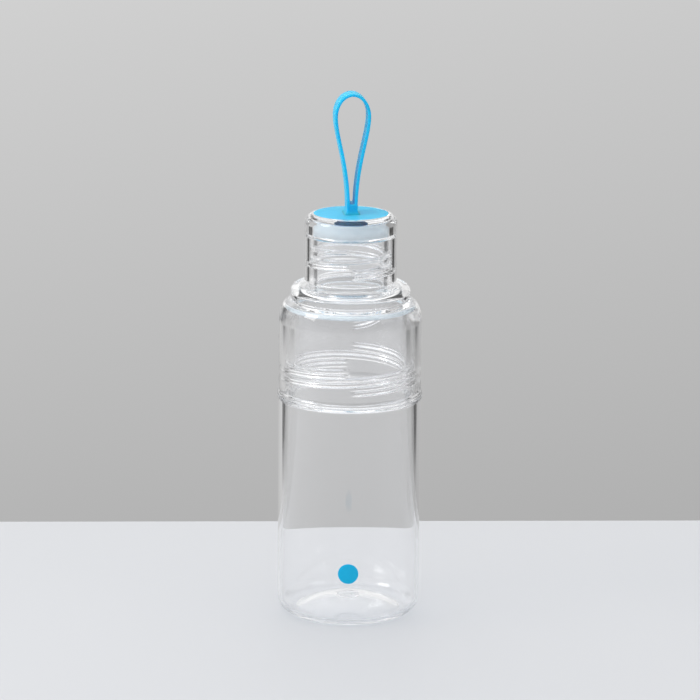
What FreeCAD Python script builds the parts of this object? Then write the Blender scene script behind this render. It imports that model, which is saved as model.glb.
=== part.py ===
"""A clear two-piece water bottle with a screw cap and a moulded silicone strap.

Millimetres, +Z up. The origin is the middle of the foot ring, on the surface the bottle stands on.
The lower body has a threaded neck, the upper body screws down over it, and the cap screws on the
spout of the upper body. Both threads are right-handed, so turning anticlockwise from above opens them.
"""
import FreeCAD, Part
import math
import os

# Roundings used in several places
EDGE_BEND = 0.4
RIM_BEND = 0.6
BORE_EDGE_BEND = 0.5
CORNER_BEND = 0.8

# Lower body
BODY_R = 35.0
BODY_WALL = 2.6
BORE_TAPER = 0.8
BASE_CORNER = 8.0
FOOT_INNER_R = 25.0
FOOT_BEND = 1.0
FLOOR_EDGE_OUT = 0.6
FLOOR_BEND = 1.5
PUSH_UP = 5.8
PUSH_FLAT_R = 5.5
PUSH_BEND = 1.2
DOME_R = 15.5
DOME_Z = 4.3
DOME_BEND = 40.0
DOME_UPPER_OUT = 0.3
FLOOR = 2.4

# Joint between the two bodies
LEDGE_R = 35.5
LEDGE_BOTTOM = 109.0
LEDGE_RAMP = 0.5
LEDGE_TOP = 110.2
BORE_TOP = 108.4
NECK_FOOT = 109.2
BORE_BEND = 1.0
NECK_R = 30.2
NECK_BORE_R = 27.6
NECK_TOP = 153.4
JOINT_GAP = 0.3

# Upper body
SHELL_R = 34.9
SHELL_BORE_R = 32.0
SKIRT_BOTTOM = LEDGE_TOP + JOINT_GAP
SKIRT_LIP = 1.5
SKIRT_FLARE_TOP = SKIRT_BOTTOM + 2.9
FLARE_BEND = 1.5
SHELL_BEND_Z = 151.3
SHELL_BEND = 18.0
SHOULDER_R = 32.7
SHOULDER_Z = 155.6
SHOULDER_BEND = 1.6
COLLAR_R = 29.2
COLLAR_FOOT = 158.6
COLLAR_TOP = 165.2
COLLAR_BEND = 3.4
ROOF_UNDERSIDE = 155.4
SEAT_BEND = 2.2
HOLLOW_R = 26.2
HOLLOW_TOP = 162.2
HOLLOW_BEND = 2.0

# Spout and cap
SPOUT_R = 18.6
SPOUT_BORE_R = 16.4
SPOUT_TOP = 189.6
CAP_R = 22.5
CAP_BORE_R = 20.4
CAP_BOTTOM = 167.0
CAP_STEP = 1.5
CAP_STEP_ABOVE_SPOUT = 1.0
CAP_STEP_BELOW_SPOUT = 0.5
CAP_TOP = 200.2
CAP_EDGE = 4.9
CAP_EDGE_DROP = 0.75
CAP_ROOF_UNDERSIDE = 196.8

# Threads: lead, number of starts, ridge height and the ridge's axial widths at root and crest
BODY_LEAD = 9.0
BODY_STARTS = 2
CAP_LEAD = 5.0
CAP_STARTS = 1
RIDGE_HEIGHT = 1.4
RIDGE_ROOT = 2.6
RIDGE_CREST = 0.8
RIDGE_SINK = 0.4
BODY_MALE_BOTTOM = 119.5
BODY_TURNS = 1.0
THREAD_START = -90.0
CAP_MALE_BOTTOM = 174.5
CAP_MALE_TURNS = 2.0
CAP_FEMALE_TURNS = 1.0

# Seals
SEAL_R = 31.3
SEAL_BORE_R = 27.4
SEAL_BOTTOM = 152.9
SEAL_CHAMFER = 1.3
LINER_R = 18.4
LINER_BORE_R = 15.2
LINER_ROOF = 1.8
LINER_BEND = 1.0
HEAD_CLEARANCE = 1.5
SEAL_GAP = 0.1

# Strap: a flat disc on the cap with a standing ribbon loop
DISC_R = 18.25
DISC_THICK = 1.6
STEM_R = 4.0
STEM_HEAD_R = 6.0
STEM_HEAD = 1.6
STEM_HEAD_TAPER = 1.0
RIBBON_THICK = 1.5
RIBBON_WIDTH = 11.0
STRAP_YAW = 6.4
BEND_Z = 204.2
ROOT_HALF = 2.6
ROOT_GAP = 0.3
ROOT_FLARE = 1.6
ROOT_SUNK = 0.4
ROOT_EDGE = 0.1
WEB_TOP = 205.4
LOOP_WIDEST_Z = 247.9
LOOP_HALF = 8.05
LOOP_RISE = 10.6
LOOP_ROOT_HALF = 1.85
LIMB_UPPER_PULL = 10.0
LIMB_LOWER_PULL = 22.0
LIMB_LOWER_SPREAD = 0.5

# Printed dot on the front of the lower body
DOT_R = 5.0
DOT_Z = 28.0
INK = 0.12
DOT_MARGIN = 1.0

AXIS = FreeCAD.Vector(0, 0, 1)
CENTRE = FreeCAD.Vector(0, 0, 0)


def at(x, z):
    return FreeCAD.Vector(x, 0, z)


def fillet(before, corner, after, radius):
    """Start, middle and end of the rounding at a corner."""
    to_before = (before - corner).normalize()
    to_after = (after - corner).normalize()
    half = to_before.getAngle(to_after) / 2
    reach = radius / math.tan(half)
    inward = (to_before + to_after).normalize()
    middle = corner + inward * (radius / math.sin(half) - radius)
    return corner + to_before * reach, middle, corner + to_after * reach


def outline(*corners):
    """A closed face in the XZ plane from corners (x, z) or (x, z, rounding)."""
    points = [at(*corner[:2]) for corner in corners]
    bends = []
    for index, corner in enumerate(corners):
        after = points[(index + 1) % len(points)]
        if len(corner) == 3:
            bends.append(fillet(points[index - 1], points[index], after, corner[2]))
        else:
            bends.append((points[index],))
    edges = []
    for bend, following in zip(bends, bends[1:] + bends[:1]):
        if len(bend) == 3:
            edges.append(Part.Arc(*bend).toShape())
        edges.append(Part.LineSegment(bend[-1], following[0]).toShape())
    return Part.Face(Part.Wire(edges))


def turned(*corners):
    """The outline revolved about the bottle's axis."""
    solid = outline(*corners).revolve(CENTRE, AXIS, 360)
    if solid.Volume < 0:
        solid.reverse()
    return solid


def ridge(wall_r, outward, bottom, lead, turns, start_angle):
    """One helical thread ridge standing on a cylindrical wall."""
    side = 1 if outward else -1
    root_r = wall_r - side * RIDGE_SINK
    crest_r = wall_r + side * RIDGE_HEIGHT
    path = Part.Wire(Part.makeHelix(lead, lead * turns, wall_r).Edges)
    corners = [
        at(root_r, -RIDGE_ROOT / 2),
        at(crest_r, -RIDGE_CREST / 2),
        at(crest_r, RIDGE_CREST / 2),
        at(root_r, RIDGE_ROOT / 2),
    ]
    section = Part.makePolygon(corners + corners[:1])
    solid = path.makePipeShell([section], True, True)
    solid.rotate(CENTRE, AXIS, start_angle)
    solid.translate(FreeCAD.Vector(0, 0, bottom))
    return solid


def add_ridges(shape, wall_r, outward, bottom, lead, turns, starts):
    for index in range(starts):
        start_angle = THREAD_START + 360 * index / starts
        shape = shape.fuse(ridge(wall_r, outward, bottom, lead, turns, start_angle))
    return shape


def lower_body():
    inner_r = BODY_R - BODY_WALL
    core = turned(
        (0, PUSH_UP),
        (PUSH_FLAT_R, PUSH_UP, PUSH_BEND),
        (DOME_R, DOME_Z, DOME_BEND),
        (FOOT_INNER_R, 0, FOOT_BEND),
        (BODY_R, 0, BASE_CORNER),
        (BODY_R, LEDGE_BOTTOM - LEDGE_RAMP, EDGE_BEND),
        (LEDGE_R, LEDGE_BOTTOM, EDGE_BEND),
        (LEDGE_R, LEDGE_TOP, EDGE_BEND),
        (NECK_R, LEDGE_TOP),
        (NECK_R, NECK_TOP, RIM_BEND),
        (NECK_BORE_R, NECK_TOP, RIM_BEND),
        (NECK_BORE_R, NECK_FOOT, BORE_BEND),
        (inner_r - BORE_TAPER, BORE_TOP, BORE_BEND),
        (inner_r + BORE_TAPER, FLOOR, BASE_CORNER - BODY_WALL),
        (FOOT_INNER_R + FLOOR_EDGE_OUT, FLOOR, FLOOR_BEND),
        (DOME_R + DOME_UPPER_OUT, DOME_Z + FLOOR, DOME_BEND),
        (PUSH_FLAT_R, PUSH_UP + FLOOR, PUSH_BEND),
        (0, PUSH_UP + FLOOR),
    )
    return add_ridges(core, NECK_R, True, BODY_MALE_BOTTOM, BODY_LEAD, BODY_TURNS, BODY_STARTS)


def upper_body():
    core = turned(
        (SHELL_BORE_R, SKIRT_BOTTOM, BORE_EDGE_BEND),
        (LEDGE_R, SKIRT_BOTTOM, BORE_EDGE_BEND),
        (LEDGE_R, SKIRT_BOTTOM + SKIRT_LIP, CORNER_BEND),
        (SHELL_R, SKIRT_FLARE_TOP, FLARE_BEND),
        (SHELL_R, SHELL_BEND_Z, SHELL_BEND),
        (SHOULDER_R, SHOULDER_Z, SHOULDER_BEND),
        (COLLAR_R, COLLAR_FOOT, EDGE_BEND),
        (COLLAR_R, COLLAR_TOP, COLLAR_BEND),
        (SPOUT_R, COLLAR_TOP, CORNER_BEND),
        (SPOUT_R, SPOUT_TOP, CORNER_BEND),
        (SPOUT_BORE_R, SPOUT_TOP, RIM_BEND),
        (SPOUT_BORE_R, HOLLOW_TOP, HOLLOW_BEND),
        (HOLLOW_R, HOLLOW_TOP, HOLLOW_BEND),
        (HOLLOW_R, ROOF_UNDERSIDE, BORE_EDGE_BEND),
        (SHELL_BORE_R, ROOF_UNDERSIDE, SEAT_BEND),
    )
    body_bottom = BODY_MALE_BOTTOM - BODY_LEAD / BODY_STARTS / 2
    core = add_ridges(core, SHELL_BORE_R, False, body_bottom, BODY_LEAD, BODY_TURNS, BODY_STARTS)
    return add_ridges(core, SPOUT_R, True, CAP_MALE_BOTTOM, CAP_LEAD, CAP_MALE_TURNS, CAP_STARTS)


def body_seal():
    top = ROOF_UNDERSIDE - SEAL_GAP
    flange = NECK_TOP + SEAL_GAP
    skirt_r = NECK_R + JOINT_GAP
    return turned(
        (SEAL_BORE_R, flange),
        (skirt_r, flange),
        (skirt_r, SEAL_BOTTOM),
        (SEAL_R, SEAL_BOTTOM),
        (SEAL_R, top - SEAL_CHAMFER),
        (SEAL_R - SEAL_CHAMFER, top),
        (SEAL_BORE_R, top),
    )


def cap_shell():
    recess = CAP_TOP - DISC_THICK
    upper_bore_r = CAP_BORE_R - CAP_STEP
    core = turned(
        (CAP_BORE_R, CAP_BOTTOM, BORE_EDGE_BEND),
        (CAP_R, CAP_BOTTOM, RIM_BEND),
        (CAP_R, CAP_TOP - CAP_EDGE_DROP, CAP_EDGE),
        (DISC_R, CAP_TOP),
        (DISC_R, recess),
        (STEM_R, recess),
        (STEM_R, CAP_ROOF_UNDERSIDE),
        (upper_bore_r, CAP_ROOF_UNDERSIDE, BORE_EDGE_BEND),
        (upper_bore_r, SPOUT_TOP + CAP_STEP_ABOVE_SPOUT),
        (CAP_BORE_R, SPOUT_TOP - CAP_STEP_BELOW_SPOUT),
    )
    bottom = CAP_MALE_BOTTOM - CAP_LEAD / CAP_STARTS / 2
    return add_ridges(core, CAP_BORE_R, False, bottom, CAP_LEAD, CAP_FEMALE_TURNS, CAP_STARTS)


def cap_liner():
    """An inverted cup under the cap's roof. Its rim presses on the top of the spout."""
    top = CAP_ROOF_UNDERSIDE - STEM_HEAD - 2 * SEAL_GAP
    bottom = SPOUT_TOP + SEAL_GAP
    rim_top = CAP_ROOF_UNDERSIDE - JOINT_GAP
    head_room_r = STEM_HEAD_R + HEAD_CLEARANCE
    return turned(
        (0, top - LINER_ROOF),
        (LINER_BORE_R, top - LINER_ROOF, LINER_BEND),
        (LINER_BORE_R, bottom, EDGE_BEND),
        (LINER_R, bottom, CORNER_BEND),
        (LINER_R, rim_top, RIM_BEND),
        (head_room_r, rim_top),
        (head_room_r, top),
        (0, top),
    )


def strap_disc():
    """The strap's flat disc with the standing root of the loop above and a stem with a head below."""
    recess = CAP_TOP - DISC_THICK
    head_bottom = CAP_ROOF_UNDERSIDE - STEM_HEAD
    disc = turned(
        (0, head_bottom),
        (STEM_HEAD_R - STEM_HEAD_TAPER, head_bottom),
        (STEM_HEAD_R, CAP_ROOF_UNDERSIDE),
        (STEM_R, CAP_ROOF_UNDERSIDE),
        (STEM_R, recess),
        (DISC_R, recess),
        (DISC_R, CAP_TOP),
        (0, CAP_TOP),
    )
    return disc.fuse(loop_root()).removeSplitter()


def across_strap(face):
    """A face in the XZ plane made as deep as the ribbon is wide, then turned with the strap."""
    face.translate(FreeCAD.Vector(0, -RIBBON_WIDTH / 2, 0))
    solid = face.extrude(FreeCAD.Vector(0, RIBBON_WIDTH, 0))
    solid.rotate(CENTRE, AXIS, STRAP_YAW)
    return solid


def loop_root():
    """The short block under the loop, with a small flared foot."""
    foot = ROOT_HALF + ROOT_FLARE
    sunk = CAP_TOP - ROOT_SUNK
    low = CAP_TOP + ROOT_EDGE
    top = BEND_Z - ROOT_HALF - ROOT_GAP
    return across_strap(outline(
        (-foot, sunk),
        (foot, sunk),
        (foot, low),
        (ROOT_HALF, top),
        (-ROOT_HALF, top),
        (-foot, low),
    ))


def teardrop(inset):
    """The loop's outline, moved inwards by inset: splayed limbs under half an ellipse."""
    half = LOOP_HALF - inset
    root = LOOP_ROOT_HALF - inset
    rise = LOOP_RISE - inset
    arch = Part.Ellipse(at(0, LOOP_WIDEST_Z + rise), at(half, LOOP_WIDEST_Z), at(0, LOOP_WIDEST_Z))
    start = arch.parameter(at(half, LOOP_WIDEST_Z))
    end = arch.parameter(at(-half, LOOP_WIDEST_Z))
    top = arch.toShape(min(start, end), max(start, end))
    if top.CenterOfMass.z < LOOP_WIDEST_Z:
        top = arch.toShape(max(start, end), min(start, end) + 2 * math.pi)
    limbs = []
    for side in (1, -1):
        limb = Part.BezierCurve()
        limb.setPoles([
            at(side * half, LOOP_WIDEST_Z),
            at(side * half, LOOP_WIDEST_Z - LIMB_UPPER_PULL),
            at(side * (root + LIMB_LOWER_SPREAD), BEND_Z + LIMB_LOWER_PULL),
            at(side * root, BEND_Z),
        ])
        limbs.append(limb.toShape())
    base = Part.LineSegment(at(-root, BEND_Z), at(root, BEND_Z)).toShape()
    return Part.Face(Part.Wire([top, limbs[1], base, limbs[0]]))


def strap_loop():
    """The ribbon loop. Its limbs join in a short web with a round end about the line it bends on."""
    ribbon = teardrop(-RIBBON_THICK / 2).cut(teardrop(RIBBON_THICK / 2))
    round_end = Part.Arc(at(-ROOT_HALF, BEND_Z), at(0, BEND_Z - ROOT_HALF), at(ROOT_HALF, BEND_Z)).toShape()
    sides = Part.makePolygon([
        at(ROOT_HALF, BEND_Z),
        at(LOOP_ROOT_HALF, WEB_TOP),
        at(-LOOP_ROOT_HALF, WEB_TOP),
        at(-ROOT_HALF, BEND_Z),
    ])
    web = Part.Face(Part.Wire([round_end, *sides.Edges]))
    return across_strap(ribbon).fuse(across_strap(web)).removeSplitter()


def printed_dot():
    """A thin round film of ink on the front of the lower body."""
    reach = DOT_R + DOT_MARGIN
    band_foot = FreeCAD.Vector(0, 0, DOT_Z - reach)
    skin = Part.makeCylinder(BODY_R + INK, 2 * reach, band_foot)
    skin = skin.cut(Part.makeCylinder(BODY_R, 2 * reach, band_foot))
    front = FreeCAD.Vector(0, -1, 0)
    punch = Part.makeCylinder(DOT_R, BODY_R + DOT_MARGIN, FreeCAD.Vector(0, 0, DOT_Z), front)
    return skin.common(punch)


NODES = {
    "lower_body": lower_body,
    "upper_body": upper_body,
    "body_seal": body_seal,
    "cap_shell": cap_shell,
    "cap_liner": cap_liner,
    "strap_disc": strap_disc,
    "strap_loop": strap_loop,
    "printed_dot": printed_dot,
}


def main():
    os.makedirs("parts", exist_ok=True)
    for name, make in NODES.items():
        shape = make()
        solids = shape.Solids
        box = shape.BoundBox
        print(f"{name}: {len(solids)} solid, valid {shape.isValid()}, {shape.Volume / 1000:.2f} cm3,",
              f"z {box.ZMin:.2f} to {box.ZMax:.2f}, x {box.XMin:.2f} to {box.XMax:.2f}")
        shape.exportStep(f"parts/{name}.step")


main()
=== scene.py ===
# %% [markdown]
# # A clear two-piece water bottle with a strap loop
# The bottle is a lower body with a threaded neck, an upper body that screws down over that neck, and a
# cap that screws on the spout. All three are clear copolyester. Two milky silicone seals and a sky-blue
# silicone strap complete it. The engineering model is loaded first, as a fixed frame: its bodies say what
# moves with what, and every piece made here takes its place from it.

# %% Load the frame
import math
import bpy
from mathutils import Matrix, Quaternion, Vector


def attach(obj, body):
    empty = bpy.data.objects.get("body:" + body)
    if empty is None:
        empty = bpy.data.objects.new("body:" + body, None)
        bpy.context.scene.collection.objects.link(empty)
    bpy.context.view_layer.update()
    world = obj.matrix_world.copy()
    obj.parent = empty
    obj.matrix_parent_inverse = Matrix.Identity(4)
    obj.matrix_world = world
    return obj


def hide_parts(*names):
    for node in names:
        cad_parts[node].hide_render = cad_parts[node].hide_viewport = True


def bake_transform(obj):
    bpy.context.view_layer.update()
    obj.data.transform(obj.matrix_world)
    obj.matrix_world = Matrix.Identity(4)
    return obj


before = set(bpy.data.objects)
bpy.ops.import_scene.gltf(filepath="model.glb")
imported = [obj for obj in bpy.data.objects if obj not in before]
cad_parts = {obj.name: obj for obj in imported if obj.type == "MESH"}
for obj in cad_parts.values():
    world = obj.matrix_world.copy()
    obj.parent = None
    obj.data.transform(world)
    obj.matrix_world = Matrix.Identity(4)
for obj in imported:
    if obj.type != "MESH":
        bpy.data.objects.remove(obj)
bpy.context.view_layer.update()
MM = 0.001

# %% [markdown]
# ## Camera
# A product picture is taken with a long lens from a little above the object. The camera stands 1.72 m in
# front of the bottle and 0.53 m above the table, and is tilted down until the bottle sits in the frame.

# %% Camera
CAMERA_AWAY = 1.724
CAMERA_UP = 0.534
AIM_UP = 0.1318
LENS = 186.0
ROLL = math.radians(0.48)


def add_camera():
    data = bpy.data.cameras.new("studio_camera")
    data.lens = LENS
    data.sensor_width = 36.0
    data.clip_start = 0.05
    camera = bpy.data.objects.new("studio_camera", data)
    bpy.context.scene.collection.objects.link(camera)
    camera.location = (0.0, -CAMERA_AWAY, CAMERA_UP)
    towards = Vector((0.0, 0.0, AIM_UP)) - camera.location
    level = towards.to_track_quat("-Z", "Y")
    camera.rotation_euler = (level @ Quaternion((0.0, 0.0, 1.0), ROLL)).to_euler()
    bpy.context.scene.camera = camera
    return math.degrees(math.atan2(CAMERA_UP - AIM_UP, CAMERA_AWAY))


print("camera looks down by", round(add_camera(), 1), "degrees")

# %% [markdown]
# ## Shader maths as expressions
# A material is a graph of small nodes. Writing `1 - mask * 0.3` is easier to read than three nodes and
# their links, so one class wraps a node's output and turns each operator into a Math node. It works the
# same in a material and in a Geometry Nodes tree, which share that node.

# %% The socket class and the node method
class Value:
    """An output socket that can be used in Python arithmetic."""

    def __init__(self, graph, socket):
        self.graph = graph
        self.socket = socket

    def maths(self, operation, *others):
        values = dict(enumerate((self, *others)))
        return self.graph.node("ShaderNodeMath", {"operation": operation}, values)

    def __add__(self, other):
        return self.maths("ADD", other)

    def __sub__(self, other):
        return self.maths("SUBTRACT", other)

    def __rsub__(self, other):
        return self.graph.node("ShaderNodeMath", {"operation": "SUBTRACT"}, {0: other, 1: self})

    def __mul__(self, other):
        return self.maths("MULTIPLY", other)

    def __truediv__(self, other):
        return self.maths("DIVIDE", other)

    def __pow__(self, other):
        return self.maths("POWER", other)

    __radd__ = __add__
    __rmul__ = __mul__

    def step(self, low, high):
        """0 below low, 1 above high and a smooth step between."""
        inputs = {"Value": self, "From Min": low, "From Max": high, "To Min": 0.0, "To Max": 1.0}
        settings = {"interpolation_type": "SMOOTHSTEP", "clamp": True}
        return self.graph.node("ShaderNodeMapRange", settings, inputs, "Result")

    def out(self, name):
        """Another output of the same node."""
        return Value(self.graph, self.socket.node.outputs[name])


class Graph:
    """A node tree with one method that makes any node."""

    def __init__(self, tree):
        self.tree = tree

    def mix(self, share, first, second):
        """A colour between two others."""
        inputs = {"Factor": share, "A": first, "B": second}
        return self.node("ShaderNodeMix", {"data_type": "RGBA"}, inputs, "Result")

    def node(self, kind, settings=None, inputs=None, output=0):
        made = self.tree.nodes.new(kind)
        for name, value in (settings or {}).items():
            if name == "stops":
                set_ramp(made.color_ramp, value)
            else:
                setattr(made, name, value)
        for name, value in (inputs or {}).items():
            if isinstance(value, Value):
                self.tree.links.new(value.socket, made.inputs[name])
            else:
                made.inputs[name].default_value = value
        return Value(self, made.outputs[output]) if made.outputs else made


def set_ramp(ramp, stops):
    """Fills a colour ramp from (place, colour) pairs."""
    while len(ramp.elements) < len(stops):
        ramp.elements.new(1.0)
    for element, (place, colour) in zip(ramp.elements, stops):
        element.position = place
        element.color = (*colour, 1.0)


print("operators ready: + - * / **, step() and out()")

# %% [markdown]
# ## The studio: a white table, a grey backdrop and soft light
# The backdrop is the world itself, a grey that gets lighter upwards, so that it is there from every side
# and hides nothing. Clear plastic has no colour of its own: what draws its edges is what stands around it.
# So the world also has a dark stretch on either side, like the black cards that stand beside a product
# table. The camera doesn't see them directly: only the plastic shows them, as thin dark lines. Light
# from the left and from above is a little stronger, so that the silicone's flat faces differ in tone.

# %% World
def linear(code):
    """An sRGB grey level, 0 to 255, as linear light."""
    share = code / 255
    return ((share + 0.055) / 1.055) ** 2.4 if share > 0.04045 else share / 12.92


def grey(code):
    return (linear(code),) * 3


BACKDROP = [
    (0.30, grey(166)),
    (0.36, grey(177)),
    (0.43, grey(204)),
    (0.47, grey(220)),
    (0.56, grey(248)),
    (1.00, grey(255)),
]
FRONT_LIGHT = (0.86, 0.865, 0.88, 1.0)
TOP_BOOST = 0.45
RIGHT_DIMMER = 0.33
CARD_DARKNESS = 0.94


def add_world():
    world = bpy.data.worlds.new("studio")
    bpy.context.scene.world = world
    world.use_nodes = True
    graph = Graph(world.node_tree)
    world.node_tree.nodes.clear()
    place = graph.node("ShaderNodeTexCoord", output="Generated")
    x = graph.node("ShaderNodeSeparateXYZ", inputs={"Vector": place}, output="X")
    behind = x.out("Y")
    up = x.out("Z")
    colour = graph.node("ShaderNodeValToRGB", {"stops": BACKDROP}, {"Fac": up * 0.5 + 0.5})
    sideways = x.maths("ABSOLUTE")
    in_front = (behind * -1.0).step(-0.1, 0.35)
    lit = graph.mix(in_front, colour, FRONT_LIGHT)
    looked_at = graph.node("ShaderNodeLightPath", output="Is Camera Ray")
    card = sideways.step(0.50, 0.55) * (1 - sideways.step(0.76, 0.82)) * up.step(-0.232, -0.213)
    hidden = (1 - in_front) * (1 - looked_at)
    carded = 1 - card * hidden * CARD_DARKNESS
    overhead = 1 + up.step(0.3, 0.8) * TOP_BOOST
    shade = carded * (1 - x * RIGHT_DIMMER) * overhead
    dimmed = graph.node("ShaderNodeBackground", inputs={"Color": lit, "Strength": shade})
    graph.node("ShaderNodeOutputWorld", inputs={"Surface": dimmed})
    bpy.context.scene.view_settings.view_transform = "Standard"
    return world


def let_light_through(bounces):
    """Light needs many turns to find its way out of thick clear walls: cut short, they go black."""
    cycles = bpy.context.scene.cycles
    cycles.max_bounces = bounces
    cycles.transmission_bounces = bounces
    cycles.glossy_bounces = bounces
    cycles.transparent_max_bounces = bounces
    return bounces


print("world:", add_world().name)
print("light may turn", let_light_through(48), "times")

# %% Table and lamps
TABLE_BACK_LEFT = 0.065
TABLE_BACK_RIGHT = 0.251
TABLE_FRONT = -3.0
TABLE_HALF = 2.5
TABLE_WHITE = (0.61, 0.62, 0.64, 1.0)
LAMP_AIM = Vector((0.0, 0.0, 0.12))


def add_table():
    corners = [
        (-TABLE_HALF, TABLE_FRONT, 0.0),
        (TABLE_HALF, TABLE_FRONT, 0.0),
        (TABLE_HALF, TABLE_BACK_RIGHT, 0.0),
        (-TABLE_HALF, TABLE_BACK_LEFT, 0.0),
    ]
    mesh = bpy.data.meshes.new("table")
    mesh.from_pydata(corners, [], [(0, 1, 2, 3)])
    table = bpy.data.objects.new("table", mesh)
    bpy.context.scene.collection.objects.link(table)
    material = bpy.data.materials.new("white_table")
    material.use_nodes = True
    shader = material.node_tree.nodes["Principled BSDF"]
    shader.inputs["Base Color"].default_value = TABLE_WHITE
    shader.inputs["Roughness"].default_value = 0.55
    shader.inputs["Specular IOR Level"].default_value = 0.25
    mesh.materials.append(material)
    return table


def add_softbox(name, place, size, power, colour):
    data = bpy.data.lights.new(name, "AREA")
    data.shape = "RECTANGLE"
    data.size = size[0]
    data.size_y = size[1]
    data.energy = power
    data.color = colour
    lamp = bpy.data.objects.new(name, data)
    bpy.context.scene.collection.objects.link(lamp)
    lamp.location = place
    towards = LAMP_AIM - lamp.location
    lamp.rotation_euler = towards.to_track_quat("-Z", "Y").to_euler()
    return lamp


add_table()
add_softbox("key_softbox", (-1.7, -0.5, 1.2), (0.8, 0.8), 11.0, (1.0, 0.99, 0.97))
add_softbox("fill_softbox", (1.6, -0.8, 1.2), (0.8, 1.0), 2.0, (0.93, 0.96, 1.0))
print("table and two softboxes")

# %% [markdown]
# ## Turned shapes
# Every clear piece and both seals are bodies of revolution. Each is drawn as half of its section: corners
# in millimetres, each with the radius of its rounding, because moulded plastic has no sharp edges and a
# rounded edge is what catches a line of light. Two extra rings close to the ends of every straight run
# keep its shading flat, which matters most in clear plastic, where a wrong normal bends the view.

# %% Section and lathe helpers
EDGE_BEND = 0.4
RIM_BEND = 0.6
BORE_EDGE_BEND = 0.5
CORNER_BEND = 0.8
HOLD = 0.12
TURN_PER_STEP = math.radians(9)
LONGEST_CHORD = 0.8
SEGMENTS = 240


def fillet(before, corner, after, radius):
    """Points of the rounding at a corner, from the run before it to the run after it."""
    here = Vector(corner)
    back = (Vector(before) - here).normalized()
    ahead = (Vector(after) - here).normalized()
    half = back.angle(ahead) / 2
    if radius <= 0 or math.pi - 2 * half < 1e-4:
        return [here]
    reach = radius / math.tan(half)
    centre = here + (back + ahead).normalized() * radius / math.sin(half)
    start = here + back * reach - centre
    end = here + ahead * reach - centre
    sweep = start.angle_signed(end)
    steps = max(2, math.ceil(abs(sweep) / TURN_PER_STEP), math.ceil(abs(sweep) * radius / LONGEST_CHORD))
    points = []
    for index in range(steps + 1):
        turn = -sweep * index / steps
        points.append(centre + Vector((
            start.x * math.cos(turn) - start.y * math.sin(turn),
            start.x * math.sin(turn) + start.y * math.cos(turn),
        )))
    return points


def straight(start, end, spacing):
    """Points between two ends of a run: a ring near each end, and rows if a spacing is given."""
    run = end - start
    if run.length < 3 * HOLD:
        return []
    along = run.normalized()
    points = [start + along * HOLD]
    rows = round(run.length / spacing) if spacing else 1
    for index in range(1, rows):
        points.append(start + run * index / rows)
    points.append(end - along * HOLD)
    return points


def section(*corners):
    """A closed section from corners (radius, height, rounding) with an optional row spacing after them."""
    count = len(corners)
    bends = []
    for index, (r, z, rounding, *_) in enumerate(corners):
        before = corners[index - 1][:2]
        after = corners[(index + 1) % count][:2]
        bends.append(fillet(before, (r, z), after, rounding))
    points = []
    for index, bend in enumerate(bends):
        points += bend
        spacing = corners[index][3] if len(corners[index]) > 3 else None
        on_axis = bend[-1].x < 1e-6 and bends[(index + 1) % count][0].x < 1e-6
        if not on_axis:
            points += straight(bend[-1], bends[(index + 1) % count][0], spacing)
    return points


def lathe(name, points, segments=SEGMENTS):
    """Turns a closed section round the axis. A point on the axis becomes one shared vertex."""
    verts = []
    rings = []
    for point in points:
        if point.x < 1e-6:
            rings.append([len(verts)] * segments)
            verts.append((0.0, 0.0, point.y * MM))
            continue
        rings.append([len(verts) + index for index in range(segments)])
        for index in range(segments):
            angle = 2 * math.pi * index / segments
            verts.append((point.x * math.cos(angle) * MM, point.x * math.sin(angle) * MM, point.y * MM))
    faces = []
    for ring, following in zip(rings, rings[1:] + rings[:1]):
        if ring[0] == ring[1] and following[0] == following[1]:
            continue
        for index in range(segments):
            other = (index + 1) % segments
            face = [ring[index], ring[other], following[other], following[index]]
            faces.append(list(dict.fromkeys(face)))
    mesh = bpy.data.meshes.new(name)
    mesh.from_pydata(verts, [], faces)
    mesh.validate()
    mesh.shade_smooth()
    made = bpy.data.objects.new(name, mesh)
    bpy.context.scene.collection.objects.link(made)
    if volume(mesh) < 0:
        mesh.flip_normals()
    print(f"{name}: {len(verts)} vertices, {len(faces)} faces, {abs(volume(mesh)) * 1e6:.1f} cm3")
    return made


def volume(mesh):
    """Signed volume inside a closed mesh, positive when its faces point outwards."""
    total = 0.0
    for face in mesh.polygons:
        corners = [mesh.vertices[index].co for index in face.vertices]
        for second, third in zip(corners[1:], corners[2:]):
            total += corners[0].dot(second.cross(third)) / 6
    return total


print("one segment spans", round(2 * math.pi * 35 / SEGMENTS, 2), "mm on the body")

# %% [markdown]
# ## Screw threads
# A thread ridge winds round a wall by a simple rule: its height rises by the lead with each turn. That is
# a job for Geometry Nodes. The tree below moves the points of a turned wall outwards wherever they lie on
# the ridge. How far a point is from the ridge's middle line follows from its height and its angle alone.
# The ridge fades out at both ends, as a moulded one does.

# %% The thread tree
INPUTS = (
    "Wall Radius",
    "Ridge Height",
    "Lead",
    "Starts",
    "Bottom",
    "Turns",
    "Root Width",
    "Crest Width",
    "Reach",
)
FADE = 0.035


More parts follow.
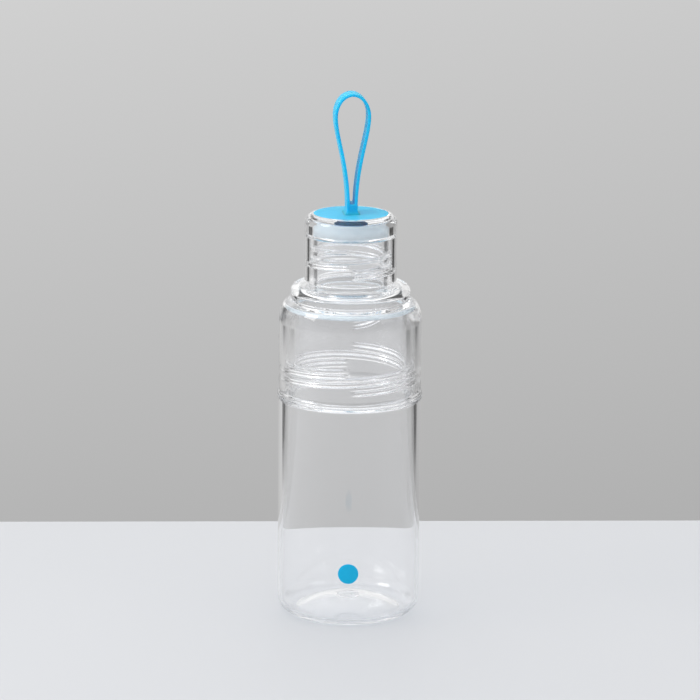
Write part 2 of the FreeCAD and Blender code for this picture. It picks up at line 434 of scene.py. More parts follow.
def thread_tree(material):
    tree = bpy.data.node_groups.new("screw_thread", "GeometryNodeTree")
    tree.interface.new_socket("Geometry", in_out="INPUT", socket_type="NodeSocketGeometry")
    for name in INPUTS:
        tree.interface.new_socket(name, in_out="INPUT", socket_type="NodeSocketFloat")
    tree.interface.new_socket("Geometry", in_out="OUTPUT", socket_type="NodeSocketGeometry")
    graph = Graph(tree)
    given = graph.node("NodeGroupInput", output="Geometry")
    place = graph.node("GeometryNodeInputPosition")
    x = graph.node("ShaderNodeSeparateXYZ", inputs={"Vector": place}, output="X")
    y = x.out("Y")
    z = x.out("Z")
    radius = (x * x + y * y) ** 0.5
    turn = y.maths("ARCTAN2", x) / (2 * math.pi) + 0.25
    turn = turn.maths("FRACT")
    starts = given.out("Starts")
    spacing = given.out("Lead") / starts
    phase = (z - given.out("Bottom")) / spacing - turn * starts
    nearest = (phase + 0.5).maths("FLOOR")
    away = (phase - nearest).maths("ABSOLUTE") * spacing
    ridge = 1 - away.step(given.out("Crest Width") * 0.5, given.out("Root Width") * 0.5)
    along = nearest / starts + turn
    fading = along.step(0.0, FADE) * (1 - along.step(given.out("Turns") - FADE, given.out("Turns")))
    off_wall = (radius - given.out("Wall Radius")).maths("ABSOLUTE")
    on_wall = off_wall.maths("LESS_THAN", given.out("Reach"))
    push = given.out("Ridge Height") * ridge * fading * on_wall
    outward = graph.node("ShaderNodeCombineXYZ", inputs={"X": x / radius, "Y": y / radius})
    offset = graph.node("ShaderNodeVectorMath", {"operation": "SCALE"}, {"Vector": outward, "Scale": push})
    moved = graph.node("GeometryNodeSetPosition", inputs={"Geometry": given, "Offset": offset})
    real = graph.node("GeometryNodeRealizeInstances", inputs={"Geometry": moved})
    painted = graph.node("GeometryNodeSetMaterial", inputs={"Geometry": real, "Material": material})
    graph.node("NodeGroupOutput", inputs={"Geometry": painted})
    return tree


def cut_thread(piece, tree, sizes):
    """Runs the thread tree on a piece and keeps the result as its plain mesh."""
    modifier = piece.modifiers.new("thread", "NODES")
    modifier.node_group = tree
    for item in tree.interface.items_tree:
        if item.in_out == "INPUT" and item.name in sizes:
            modifier[item.identifier] = float(sizes[item.name])
    view = bpy.context.evaluated_depsgraph_get()
    mesh = bpy.data.meshes.new_from_object(piece.evaluated_get(view))
    piece.modifiers.remove(modifier)
    piece.data = mesh
    mesh.name = piece.name
    widest = max(math.hypot(v.co.x, v.co.y) for v in mesh.vertices)
    print(f"{piece.name}: thread cut, widest point {widest / MM:.2f} mm from the axis")
    return piece


print("thread tree inputs:", ", ".join(INPUTS))

# %% [markdown]
# ## Clear copolyester
# The bottle's plastic is as clear as glass but softer, so it carries very faint hairline scuffs, and the
# moulding leaves its surface minutely uneven. The shader is a Principled one that transmits all light, at
# the index of copolyester. Light from the lamps would otherwise have to find its way through both faces of
# each wall, which path tracing does badly, so shadow and diffuse rays meet a plain see-through shader that
# is darker at grazing angles, as the rim of a clear cup's shadow is.

# %% Material helpers and the clear plastic
def start_material(name):
    material = bpy.data.materials.new(name)
    material.use_nodes = True
    material.node_tree.nodes.clear()
    return material, Graph(material.node_tree)


def object_place(graph):
    return graph.node("ShaderNodeTexCoord", output="Object")


def noise(graph, place, scale, detail=2.0, roughness=0.5):
    inputs = {"Vector": place, "Scale": scale, "Detail": detail, "Roughness": roughness}
    return graph.node("ShaderNodeTexNoise", inputs=inputs, output="Fac")


def stretched(graph, place, factors):
    """Object coordinates scaled unevenly, so that a noise read through them becomes streaks."""
    return graph.node("ShaderNodeMapping", inputs={"Vector": place, "Scale": factors})


def bump(graph, height, strength, distance):
    inputs = {"Height": height, "Strength": strength, "Distance": distance}
    return graph.node("ShaderNodeBump", inputs=inputs)


COPOLYESTER_IOR = 1.54
CLEAR_TINT = (0.996, 0.997, 1.0, 1.0)


def clear_plastic(name, waviness):
    material, graph = start_material(name)
    place = object_place(graph)
    scuffs = noise(graph, stretched(graph, place, (900.0, 900.0, 60.0)), 1.0, 3.0)
    haze = noise(graph, place, 90.0, 3.0)
    roughness = scuffs.step(0.62, 0.80) * 0.05 + haze.step(0.45, 0.75) * 0.025
    waves = noise(graph, stretched(graph, place, (60.0, 60.0, 18.0)), 1.0, 1.0)
    inputs = {
        "Base Color": CLEAR_TINT,
        "Roughness": roughness,
        "IOR": COPOLYESTER_IOR,
        "Transmission Weight": 1.0,
        "Normal": bump(graph, waves, waviness, 0.0006),
    }
    plastic = graph.node("ShaderNodeBsdfPrincipled", inputs=inputs)
    facing = graph.node("ShaderNodeLayerWeight", inputs={"Blend": 0.35}, output="Facing")
    open_side = graph.node("ShaderNodeBsdfTransparent", inputs={"Color": (0.985, 0.988, 0.99, 1.0)})
    edge_side = graph.node("ShaderNodeBsdfTransparent", inputs={"Color": (0.82, 0.85, 0.89, 1.0)})
    let_through = graph.node("ShaderNodeMixShader", inputs={0: facing ** 2.0, 1: open_side, 2: edge_side})
    ray = graph.node("ShaderNodeLightPath", output="Is Shadow Ray")
    unseen = ray.maths("MAXIMUM", ray.out("Is Diffuse Ray"))
    mixed = graph.node("ShaderNodeMixShader", inputs={0: unseen, 1: plastic, 2: let_through})
    graph.node("ShaderNodeOutputMaterial", inputs={"Surface": mixed})
    return material


body_plastic = clear_plastic("clear_copolyester_body", 0.10)
cap_plastic = clear_plastic("clear_copolyester_cap", 0.06)
print("clear plastics:", body_plastic.name, cap_plastic.name)

# %% [markdown]
# ## Milky silicone
# The two seals are undyed silicone. It is translucent, like thin milk, so each point of it is part a
# see-through shader and part a skin that scatters light below its surface. Its colour and its roughness
# vary in soft blotches.

# %% Milky silicone
THIN_LIP_CLEAR = 0.72
BODY_CLOUD = 0.42


def milky_silicone(name, thin_below, thick_above):
    """The lip that presses on the rim is the thinnest part, so it lets the most light through."""
    material, graph = start_material(name)
    place = object_place(graph)
    height = graph.node("ShaderNodeSeparateXYZ", inputs={"Vector": place}, output="Z")
    see_through = THIN_LIP_CLEAR - height.step(thin_below * MM, thick_above * MM) * BODY_CLOUD
    cloud = noise(graph, place, 120.0, 3.0)
    colour = graph.mix(cloud, (0.66, 0.78, 0.85, 1.0), (0.78, 0.87, 0.92, 1.0))
    grain = noise(graph, place, 2500.0, 2.0)
    inputs = {
        "Base Color": colour,
        "Roughness": 0.32 + cloud * 0.2,
        "IOR": 1.41,
        "Subsurface Weight": 0.9,
        "Subsurface Radius": (1.0, 1.0, 1.0),
        "Subsurface Scale": 0.006,
        "Normal": bump(graph, grain, 0.15, 0.00005),
    }
    skin = graph.node("ShaderNodeBsdfPrincipled", inputs=inputs)
    through = graph.node("ShaderNodeBsdfTransparent", inputs={"Color": (0.93, 0.96, 0.98, 1.0)})
    mixed = graph.node("ShaderNodeMixShader", inputs={0: see_through, 1: skin, 2: through})
    graph.node("ShaderNodeOutputMaterial", inputs={"Surface": mixed})
    return material


body_seal_material = milky_silicone("milky_silicone_body", 152.5, 153.5)
liner_material = milky_silicone("milky_silicone_cap", 189.5, 195.0)
print("seal materials:", body_seal_material.name, liner_material.name)

# %% [markdown]
# ## Blue silicone and blue ink
# The strap is dyed silicone with a fine satin skin from the mould. It holds a few specks of dust, a very
# slight change of shade, and is a little rougher in patches where it is handled. The ink is the same blue,
# laid on by a screen, so it is thin and its edge and sheen are slightly uneven.

# %% Blue silicone and ink
STRAP_BLUE = (0.0, 0.43, 0.72)
STRAP_BLUE_PALE = (0.004, 0.48, 0.77)
DUST = (0.55, 0.75, 0.85, 1.0)


def blue_silicone():
    material, graph = start_material("blue_silicone")
    place = object_place(graph)
    patches = noise(graph, place, 70.0, 3.0)
    colour = graph.mix(patches.step(0.3, 0.7), (*STRAP_BLUE, 1.0), (*STRAP_BLUE_PALE, 1.0))
    grain = noise(graph, place, 3500.0, 2.0, 0.6)
    dust = noise(graph, place, 1400.0, 1.0).step(0.74, 0.80)
    dusted = graph.mix(dust * 0.25, colour, DUST)
    inputs = {
        "Base Color": dusted,
        "Roughness": 0.42 + patches * 0.14,
        "IOR": 1.43,
        "Subsurface Weight": 0.85,
        "Subsurface Radius": (0.2, 0.7, 1.0),
        "Subsurface Scale": 0.0035,
        "Specular IOR Level": 0.4,
        "Sheen Weight": 0.35,
        "Sheen Tint": (0.35, 0.85, 1.0, 1.0),
        "Normal": bump(graph, grain, 0.25, 0.00006),
    }
    skin = graph.node("ShaderNodeBsdfPrincipled", inputs=inputs)
    graph.node("ShaderNodeOutputMaterial", inputs={"Surface": skin})
    return material


def blue_ink():
    material, graph = start_material("blue_ink")
    place = object_place(graph)
    mottle = noise(graph, place, 900.0, 3.0)
    colour = graph.mix(mottle, (0.0, 0.38, 0.66, 1.0), (0.0, 0.44, 0.74, 1.0))
    inputs = {
        "Base Color": colour,
        "Roughness": 0.25 + mottle * 0.2,
        "Specular IOR Level": 0.3,
        "Normal": bump(graph, mottle, 0.2, 0.00003),
    }
    film = graph.node("ShaderNodeBsdfPrincipled", inputs=inputs)
    graph.node("ShaderNodeOutputMaterial", inputs={"Surface": film})
    return material


strap_material = blue_silicone()
ink_material = blue_ink()
print("blue materials:", strap_material.name, ink_material.name)

# %% [markdown]
# ## Lower body
# A straight cylinder with a generously rounded base that is domed up inside a narrow foot ring, so that it
# stands steadily. At the top a small ledge stops the upper body, and above it rises the threaded neck. The
# round mark in the middle of the base is where the plastic entered the mould.

# %% Lower body
def finish_piece(piece, body, slot, material, *nodes):
    """Gives a piece its material, parents it to the body it rides on and hides the parts it replaces. The
    slot is not used.
    """
    if not piece.data.materials:
        piece.data.materials.append(material)
    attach(piece, body)
    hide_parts(*nodes)
    return piece


BODY_R = 35.0
BODY_WALL = 2.6
BORE_TAPER = 0.8
BASE_CORNER = 8.0
FOOT_INNER_R = 25.0
FOOT_BEND = 1.0
FLOOR_EDGE_OUT = 0.6
FLOOR_BEND = 1.5
PUSH_UP = 5.8
PUSH_FLAT_R = 5.5
PUSH_BEND = 1.2
DOME_R = 15.5
DOME_Z = 4.3
DOME_BEND = 40.0
DOME_UPPER_OUT = 0.3
FLOOR = 2.4
LEDGE_R = 35.5
LEDGE_BOTTOM = 109.0
LEDGE_RAMP = 0.5
LEDGE_TOP = 110.2
BORE_TOP = 108.4
NECK_FOOT = 109.2
BORE_BEND = 1.0
NECK_R = 30.2
NECK_BORE_R = 27.6
NECK_TOP = 153.4
GATE_R = 2.0
GATE_DEPTH = 0.35
GATE_SLOPE = 0.4
GATE_BEND = 0.2
THREAD_ROW = 0.16
THREAD_MARGIN = 1.6
RIDGE = {"Ridge Height": 1.4, "Root Width": 2.6, "Crest Width": 0.8, "Reach": 0.05}
BODY_THREAD = {"Lead": 9.0, "Starts": 2, "Turns": 1.0}
BODY_THREAD_BOTTOM = 119.5


def scaled(sizes, **more):
    """Thread sizes in metres from sizes in millimetres. Starts and turns are plain numbers."""
    merged = {**RIDGE, **sizes, **more}
    return {key: value if key in ("Starts", "Turns") else value * MM for key, value in merged.items()}


def thread_zone(bottom, sizes):
    """The lowest and highest point of a wall that its thread ridges touch, with a margin."""
    return bottom - THREAD_MARGIN, bottom + sizes["Lead"] * sizes["Turns"] + THREAD_MARGIN


def lower_body_section():
    inner_r = BODY_R - BODY_WALL
    low, high = thread_zone(BODY_THREAD_BOTTOM, BODY_THREAD)
    return section(
        (0.0, PUSH_UP - GATE_DEPTH, 0),
        (GATE_R - GATE_SLOPE, PUSH_UP - GATE_DEPTH, GATE_BEND),
        (GATE_R, PUSH_UP, GATE_BEND),
        (PUSH_FLAT_R, PUSH_UP, PUSH_BEND),
        (DOME_R, DOME_Z, DOME_BEND),
        (FOOT_INNER_R, 0.0, FOOT_BEND),
        (BODY_R, 0.0, BASE_CORNER),
        (BODY_R, LEDGE_BOTTOM - LEDGE_RAMP, EDGE_BEND),
        (LEDGE_R, LEDGE_BOTTOM, EDGE_BEND),
        (LEDGE_R, LEDGE_TOP, EDGE_BEND),
        (NECK_R, LEDGE_TOP, EDGE_BEND),
        (NECK_R, low, 0, THREAD_ROW),
        (NECK_R, high, 0),
        (NECK_R, NECK_TOP, RIM_BEND),
        (NECK_BORE_R, NECK_TOP, RIM_BEND),
        (NECK_BORE_R, NECK_FOOT, BORE_BEND),
        (inner_r - BORE_TAPER, BORE_TOP, BORE_BEND),
        (inner_r + BORE_TAPER, FLOOR, BASE_CORNER - BODY_WALL),
        (FOOT_INNER_R + FLOOR_EDGE_OUT, FLOOR, FLOOR_BEND),
        (DOME_R + DOME_UPPER_OUT, DOME_Z + FLOOR, DOME_BEND),
        (PUSH_FLAT_R, PUSH_UP + FLOOR, PUSH_BEND),
        (0.0, PUSH_UP + FLOOR, 0),
    )


threads = thread_tree(body_plastic)
lower_body = lathe("clear_lower_body", lower_body_section())
wall = {"Wall Radius": NECK_R, "Bottom": BODY_THREAD_BOTTOM}
cut_thread(lower_body, threads, scaled(BODY_THREAD, **wall))
finish_piece(lower_body, "lower", "clear_plastic", body_plastic, "lower_body")

# %% [markdown]
# ## Upper body
# A cylinder that closes in a round shoulder, with a low collar and the spout on top. Its skirt carries the
# inner thread that takes hold of the neck, and the spout carries the outer thread for the cap.

# %% Upper body
SHELL_R = 34.9
SHELL_BORE_R = 32.0
SKIRT_BOTTOM = 110.5
SKIRT_FLARE_TOP = 113.4
SKIRT_LIP = 1.5
FLARE_BEND = 1.5
SHELL_BEND_Z = 151.3
SHELL_BEND = 18.0
SHOULDER_R = 32.7
SHOULDER_Z = 155.6
SHOULDER_BEND = 1.6
COLLAR_R = 29.2
COLLAR_FOOT = 158.6
COLLAR_TOP = 165.2
COLLAR_BEND = 3.4
ROOF_UNDERSIDE = 155.4
SEAT_BEND = 2.2
HOLLOW_R = 26.2
HOLLOW_TOP = 162.2
HOLLOW_BEND = 2.0
SPOUT_R = 18.6
SPOUT_BORE_R = 16.4
SPOUT_TOP = 189.6
CAP_THREAD = {"Lead": 5.0, "Starts": 1, "Turns": 2.0}
CAP_THREAD_BOTTOM = 174.5
BODY_HALF_STEP = BODY_THREAD["Lead"] / BODY_THREAD["Starts"] / 2


def upper_body_section():
    inner_low, inner_high = thread_zone(BODY_THREAD_BOTTOM - BODY_HALF_STEP, BODY_THREAD)
    spout_low, spout_high = thread_zone(CAP_THREAD_BOTTOM, CAP_THREAD)
    return section(
        (SHELL_BORE_R, SKIRT_BOTTOM, BORE_EDGE_BEND),
        (LEDGE_R, SKIRT_BOTTOM, BORE_EDGE_BEND),
        (LEDGE_R, SKIRT_BOTTOM + SKIRT_LIP, CORNER_BEND),
        (SHELL_R, SKIRT_FLARE_TOP, FLARE_BEND),
        (SHELL_R, SHELL_BEND_Z, SHELL_BEND),
        (SHOULDER_R, SHOULDER_Z, SHOULDER_BEND),
        (COLLAR_R, COLLAR_FOOT, EDGE_BEND),
        (COLLAR_R, COLLAR_TOP, COLLAR_BEND),
        (SPOUT_R, COLLAR_TOP, CORNER_BEND),
        (SPOUT_R, spout_low, 0, THREAD_ROW),
        (SPOUT_R, spout_high, 0),
        (SPOUT_R, SPOUT_TOP, CORNER_BEND),
        (SPOUT_BORE_R, SPOUT_TOP, RIM_BEND),
        (SPOUT_BORE_R, HOLLOW_TOP, HOLLOW_BEND),
        (HOLLOW_R, HOLLOW_TOP, HOLLOW_BEND),
        (HOLLOW_R, ROOF_UNDERSIDE, BORE_EDGE_BEND),
        (SHELL_BORE_R, ROOF_UNDERSIDE, SEAT_BEND),
        (SHELL_BORE_R, inner_high, 0, THREAD_ROW),
        (SHELL_BORE_R, inner_low, 0),
    )


upper_body = lathe("clear_upper_body", upper_body_section())
inner_wall = {
    "Wall Radius": SHELL_BORE_R,
    "Ridge Height": -RIDGE["Ridge Height"],
    "Bottom": BODY_THREAD_BOTTOM - BODY_HALF_STEP,
}
cut_thread(upper_body, threads, scaled(BODY_THREAD, **inner_wall))
upper_body.data.materials.clear()
spout_wall = {"Wall Radius": SPOUT_R, "Bottom": CAP_THREAD_BOTTOM}
cut_thread(upper_body, threads, scaled(CAP_THREAD, **spout_wall))
finish_piece(upper_body, "upper", "clear_plastic", body_plastic, "upper_body")

# %% [markdown]
# ## Cap
# A clear cup, turned over. Its top edge is well rounded and its roof has a shallow recess that takes the
# strap's disc, with a hole in the middle for the strap's stem. The inner thread is one turn long.

# %% Cap
CAP_R = 22.5
CAP_BORE_R = 20.4
CAP_BOTTOM = 167.0
CAP_STEP = 1.5
CAP_STEP_ABOVE_SPOUT = 1.0
CAP_STEP_BELOW_SPOUT = 0.5
CAP_TOP = 200.2
CAP_EDGE = 4.9
CAP_EDGE_DROP = 0.75
CAP_ROOF_UNDERSIDE = 196.8
RECESS_EDGE = 0.12
RECESS_CORNER = 0.15
HOLE_EDGE = 0.2
DISC_R = 18.25
DISC_THICK = 1.6
STEM_R = 4.0
CAP_INNER_THREAD = {**CAP_THREAD, "Turns": 1.0}
CAP_INNER_BOTTOM = CAP_THREAD_BOTTOM - CAP_THREAD["Lead"] / 2


def cap_section():
    recess = CAP_TOP - DISC_THICK
    upper_bore_r = CAP_BORE_R - CAP_STEP
    low, high = thread_zone(CAP_INNER_BOTTOM, CAP_INNER_THREAD)
    return section(
        (CAP_BORE_R, CAP_BOTTOM, BORE_EDGE_BEND),
        (CAP_R, CAP_BOTTOM, RIM_BEND),
        (CAP_R, CAP_TOP - CAP_EDGE_DROP, CAP_EDGE),
        (DISC_R, CAP_TOP, RECESS_EDGE),
        (DISC_R, recess, RECESS_CORNER),
        (STEM_R, recess, HOLE_EDGE),
        (STEM_R, CAP_ROOF_UNDERSIDE, HOLE_EDGE),
        (upper_bore_r, CAP_ROOF_UNDERSIDE, BORE_EDGE_BEND),
        (upper_bore_r, SPOUT_TOP + CAP_STEP_ABOVE_SPOUT, EDGE_BEND),
        (CAP_BORE_R, SPOUT_TOP - CAP_STEP_BELOW_SPOUT, EDGE_BEND),
        (CAP_BORE_R, high, 0, THREAD_ROW),
        (CAP_BORE_R, low, 0),
    )


cap_threads = thread_tree(cap_plastic)
cap = lathe("clear_cap", cap_section())
cap_wall = {
    "Wall Radius": CAP_BORE_R,
    "Ridge Height": -RIDGE["Ridge Height"],
    "Bottom": CAP_INNER_BOTTOM,
}
cut_thread(cap, cap_threads, scaled(CAP_INNER_THREAD, **cap_wall))
finish_piece(cap, "cap", "clear_plastic", cap_plastic, "cap_shell")

# %% [markdown]
# ## Seals
# One seal sits over the rim of the neck, under the shoulder. The other lines the cap as a shallow inverted
# cup and closes on the rim of the spout.

# %% Seals
SEAL_R = 31.3
SEAL_BORE_R = 27.4
SEAL_BOTTOM = 152.9
SEAL_GAP = 0.1
SEAL_TOP_BEND = 1.3
SEAL_STEP_BEND = 0.15
SEAL_HEM_BEND = 0.25
LIP_BEND = 0.3
JOINT_GAP = 0.3
LINER_R = 18.4
LINER_BORE_R = 15.2
LINER_ROOF = 1.8
LINER_BEND = 1.2
HEAD_CLEARANCE = 1.5
STEM_HEAD_R = 6.0
STEM_HEAD = 1.6


def body_seal_section():
    top = ROOF_UNDERSIDE - SEAL_GAP
    flange = NECK_TOP + SEAL_GAP
    return section(
        (SEAL_BORE_R, flange, LIP_BEND),
        (NECK_R + JOINT_GAP, flange, SEAL_STEP_BEND),
        (NECK_R + JOINT_GAP, SEAL_BOTTOM, SEAL_HEM_BEND),
        (SEAL_R, SEAL_BOTTOM, LIP_BEND),
        (SEAL_R, top, SEAL_TOP_BEND),
        (SEAL_BORE_R, top, BORE_EDGE_BEND),
    )


def cap_liner_section():
    top = CAP_ROOF_UNDERSIDE - STEM_HEAD - 2 * SEAL_GAP
    bottom = SPOUT_TOP + SEAL_GAP
    rim_top = CAP_ROOF_UNDERSIDE - JOINT_GAP
    head_room_r = STEM_HEAD_R + HEAD_CLEARANCE
    return section(
        (0.0, top - LINER_ROOF, 0),
        (LINER_BORE_R, top - LINER_ROOF, LINER_BEND),
        (LINER_BORE_R, bottom, EDGE_BEND),
        (LINER_R, bottom, CORNER_BEND),
        (LINER_R, rim_top, RIM_BEND),
        (head_room_r, rim_top, LIP_BEND),
        (head_room_r, top, LIP_BEND),
        (0.0, top, 0),
    )


body_seal = lathe("milky_body_seal", body_seal_section())
finish_piece(body_seal, "joint_seal", "milky_silicone", body_seal_material, "body_seal")
cap_liner = lathe("milky_cap_liner", cap_liner_section())
finish_piece(cap_liner, "liner", "milky_silicone", liner_material, "cap_liner")

# %% [markdown]
# ## Strap
# The strap is one silicone moulding: a flat disc that fills the recess, a short block with a flared foot,
# and a ribbon loop. The loop's line is half an ellipse over two splayed limbs, each one Bezier curve. The
# ribbon is made by walking along that line and laying a small rounded section across it. A fine remesh
# makes one watertight skin of block and ribbon, and rounds the crotch and the foot as a mould does. The
# disc isn't remeshed, because a turned shape keeps its wide flat face clean. The block's foot is sunk
# into it by a hair.

# %% Strap sizes and the loop's line
RIBBON_THICK = 1.5
RIBBON_WIDTH = 11.0
RIBBON_BEND = 0.45
STRAP_YAW = math.radians(6.4)
BEND_Z = 204.2
ROOT_HALF = 2.6
ROOT_FLARE = 1.7
FLARE_CURVE = 2.6
FLARE_STEPS = 12
ROOT_BEND = 0.5
WEB_TOP = 205.4
LOOP_WIDEST_Z = 247.9
LOOP_HALF = 8.05
LOOP_RISE = 10.6
LOOP_ROOT_HALF = 1.85
LIMB_UPPER_PULL = 10.0
LIMB_LOWER_PULL = 22.0
LIMB_LOWER_SPREAD = 0.5


def bezier(poles, share):
    """A point on a cubic Bezier curve."""
    keep = 1 - share
    weights = (keep ** 3, 3 * keep * keep * share, 3 * keep * share * share, share ** 3)
    return sum((pole * weight for pole, weight in zip(poles, weights)), Vector((0.0, 0.0)))


def limb_poles(side):
    return [
        Vector((side * LOOP_ROOT_HALF, BEND_Z)),
        Vector((side * (LOOP_ROOT_HALF + LIMB_LOWER_SPREAD), BEND_Z + LIMB_LOWER_PULL)),
        Vector((side * LOOP_HALF, LOOP_WIDEST_Z - LIMB_UPPER_PULL)),
        Vector((side * LOOP_HALF, LOOP_WIDEST_Z)),
    ]


def loop_line(limb_steps=44, arch_steps=48):
    """The loop's middle line in the strap's own plane, from one foot round to the other."""
    line = [bezier(limb_poles(1), step / limb_steps) for step in range(limb_steps)]
    for step in range(arch_steps):
        turn = math.pi * step / arch_steps
        line.append(Vector((LOOP_HALF * math.cos(turn), LOOP_WIDEST_Z + LOOP_RISE * math.sin(turn))))
    line += [bezier(limb_poles(-1), 1 - step / limb_steps) for step in range(limb_steps + 1)]
    return line


def rounded_rectangle(width, height, rounding, steps=3):
    """Corner points of a rounded rectangle about the origin."""
    points = []
    for quarter, (sx, sy) in enumerate(((1, 1), (-1, 1), (-1, -1), (1, -1))):
        for step in range(steps + 1):
            turn = math.pi / 2 * (quarter + step / steps)
            points.append((
                sx * (width / 2 - rounding) + rounding * math.cos(turn),
                sy * (height / 2 - rounding) + rounding * math.sin(turn),
            ))
    return points


line = loop_line()
length = sum((b - a).length for a, b in zip(line, line[1:]))
print("ribbon is", round(length, 1), "mm from foot to foot")

# %% Strap skin
REMESH_VOXEL = 0.22
SMOOTH_PASSES = 6
FOOT_SUNK = 0.3
DISC_GAP = 0.12
STEM_PRESS = 0.03
STEM_BEND = 0.1
STEM_HEAD_TAPER = 1.0
DISC_EDGE = 2.0


def ribbon_verts(line):
    """Rings of the ribbon's rounded section laid across its line."""
    rings = []
    for index, point in enumerate(line):
        ahead = line[min(index + 1, len(line) - 1)] - line[max(index - 1, 0)]
        normal = Vector((ahead.y, -ahead.x)).normalized()
        ring = []
        for across, deep in rounded_rectangle(RIBBON_THICK, RIBBON_WIDTH, RIBBON_BEND):
            place = point + normal * across
            ring.append((place.x, deep, place.y))
        rings.append(ring)
    return rings


def tube(name, rings):
    """A closed mesh from rings of points, capped at both ends."""
    count = len(rings[0])
    verts = [tuple(value * MM for value in point) for ring in rings for point in ring]
    faces = []
    for row in range(len(rings) - 1):
        for index in range(count):
            other = (index + 1) % count
            low = row * count
            faces.append((low + index, low + other, low + count + other, low + count + index))
    faces.append(tuple(reversed(range(count))))
    faces.append(tuple(range(len(verts) - count, len(verts))))
    mesh = bpy.data.meshes.new(name)
    mesh.from_pydata(verts, [], faces)
    mesh.validate()
    if volume(mesh) < 0:
        mesh.flip_normals()
    made = bpy.data.objects.new(name, mesh)
    bpy.context.scene.collection.objects.link(made)
    return made


def block_rings():
    """The block under the loop: a flared foot that draws in to the root's width, then the web's round."""
    rings = []
    for step in range(FLARE_STEPS + 1):
        rise = step / FLARE_STEPS
        flare = ROOT_FLARE * (1 - rise) ** FLARE_CURVE
        z = CAP_TOP - FOOT_SUNK + rise * (BEND_Z - 1.0 - CAP_TOP)
        half = ROOT_HALF + flare
        depth = RIBBON_WIDTH / 2 + flare * 0.55
        outline = rounded_rectangle(2 * half, 2 * depth, ROOT_BEND + flare * 0.6)
        rings.append([(x, y, z) for x, y in outline])
    for z in (BEND_Z - 0.5, BEND_Z + 0.4, WEB_TOP - 0.3):
        outline = rounded_rectangle(2 * ROOT_HALF, RIBBON_WIDTH, ROOT_BEND)
        rings.append([(x, y, z) for x, y in outline])
    return rings


def disc_section():
    """The disc and its stem. A film of air stays round the disc; the stem is a press fit in its hole."""
    recess = CAP_TOP - DISC_THICK + DISC_GAP
    stem = STEM_R + STEM_PRESS
    head_low = CAP_ROOF_UNDERSIDE - STEM_HEAD
    return section(
        (0.0, head_low, 0),
        (STEM_HEAD_R - STEM_HEAD_TAPER, head_low, EDGE_BEND),
        (STEM_HEAD_R, CAP_ROOF_UNDERSIDE + STEM_PRESS, HOLE_EDGE),
        (stem, CAP_ROOF_UNDERSIDE + STEM_PRESS, STEM_BEND),
        (stem, recess, STEM_BEND),
        (DISC_R - DISC_GAP, recess, STEM_BEND),
        (DISC_R - DISC_GAP, CAP_TOP - 0.1, LIP_BEND),
        (DISC_R - DISC_EDGE, CAP_TOP, DISC_EDGE),
        (0.0, CAP_TOP, 0),
    )


def joined(name, *objects):
    """One object from several, with every mesh kept as it is."""
    verts = []
    faces = []
    for piece in objects:
        start = len(verts)
        verts += [tuple(vertex.co) for vertex in piece.data.vertices]
        faces += [tuple(start + index for index in face.vertices) for face in piece.data.polygons]
        bpy.data.objects.remove(piece)
    mesh = bpy.data.meshes.new(name)
    mesh.from_pydata(verts, [], faces)
    made = bpy.data.objects.new(name, mesh)
    bpy.context.scene.collection.objects.link(made)
    return made


def baked(piece):
    """Replaces a piece's mesh by what its modifiers make of it."""
    view = bpy.context.evaluated_depsgraph_get()
    mesh = bpy.data.meshes.new_from_object(piece.evaluated_get(view))
    piece.modifiers.clear()
    piece.data = mesh
    mesh.name = piece.name
    mesh.shade_smooth()
    return piece


def make_strap():
    block = tube("strap_block_blank", block_rings())
    ribbon = tube("strap_ribbon_blank", ribbon_verts(line))
    standing = joined("strap_standing_blank", block, ribbon)
    remesh = standing.modifiers.new("one_skin", "REMESH")
    remesh.mode = "VOXEL"
    remesh.voxel_size = REMESH_VOXEL * MM
    smooth = standing.modifiers.new("soften", "SMOOTH")
    smooth.factor = 0.5
    smooth.iterations = SMOOTH_PASSES
    baked(standing)
    disc = lathe("strap_disc_blank", disc_section(), 160)
    strap = joined("blue_strap", standing, disc)
    strap.data.transform(Matrix.Rotation(STRAP_YAW, 4, "Z"))
    strap.data.shade_smooth()
    print("strap:", len(strap.data.polygons), "faces")
    return strap


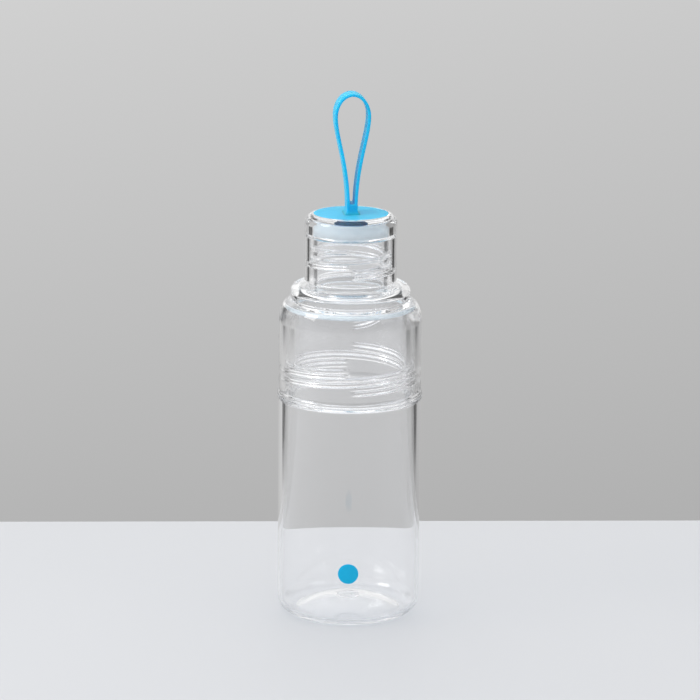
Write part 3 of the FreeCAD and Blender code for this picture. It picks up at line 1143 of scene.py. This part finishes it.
strap = make_strap()
strap.data.materials.append(strap_material)
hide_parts("strap_disc", "strap_loop")
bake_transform(strap)

# %% [markdown]
# ## Printed dot
# The mark low on the front is a film of blue ink. It follows the wall's curve, so it is made as a small
# polar grid that is bent round the bottle, with a slightly raised middle and a feathered edge.

# %% Printed dot
DOT_R = 5.0
DOT_Z = 28.0
INK = 0.12
INK_LIFT = 0.03


def make_dot(rings=14, spokes=96):
    """A thin closed film in the shape of a disc, wrapped round the front of the lower body."""
    verts = []
    faces = []
    for layer in (0, 1):
        for ring in range(rings + 1):
            share = ring / rings
            thickness = INK * (1 - share ** 8) if layer else 0.0
            for spoke in range(spokes if ring else 1):
                turn = 2 * math.pi * spoke / spokes
                along = share * DOT_R * math.cos(turn) / BODY_R
                radius = BODY_R + INK_LIFT + thickness
                z = DOT_Z + share * DOT_R * math.sin(turn)
                verts.append((radius * math.sin(along) * MM, -radius * math.cos(along) * MM, z * MM))
    per_layer = 1 + rings * spokes

    def at(layer, ring, spoke):
        inside = 0 if ring == 0 else 1 + (ring - 1) * spokes + spoke % spokes
        return layer * per_layer + inside

    for layer in (0, 1):
        for ring in range(rings):
            for spoke in range(spokes):
                face = (
                    at(layer, ring, spoke),
                    at(layer, ring + 1, spoke),
                    at(layer, ring + 1, spoke + 1),
                    at(layer, ring, spoke + 1),
                )
                face = tuple(dict.fromkeys(face))
                faces.append(face if layer else tuple(reversed(face)))
    for spoke in range(spokes):
        faces.append((
            at(0, rings, spoke),
            at(0, rings, spoke + 1),
            at(1, rings, spoke + 1),
            at(1, rings, spoke),
        ))
    mesh = bpy.data.meshes.new("printed_dot_film")
    mesh.from_pydata(verts, [], faces)
    mesh.validate()
    if volume(mesh) < 0:
        mesh.flip_normals()
    mesh.shade_smooth()
    made = bpy.data.objects.new("printed_dot_film", mesh)
    bpy.context.scene.collection.objects.link(made)
    return made


dot = make_dot()
finish_piece(dot, "lower", "blue_ink", ink_material, "printed_dot")
print("dot:", len(dot.data.polygons), "faces")
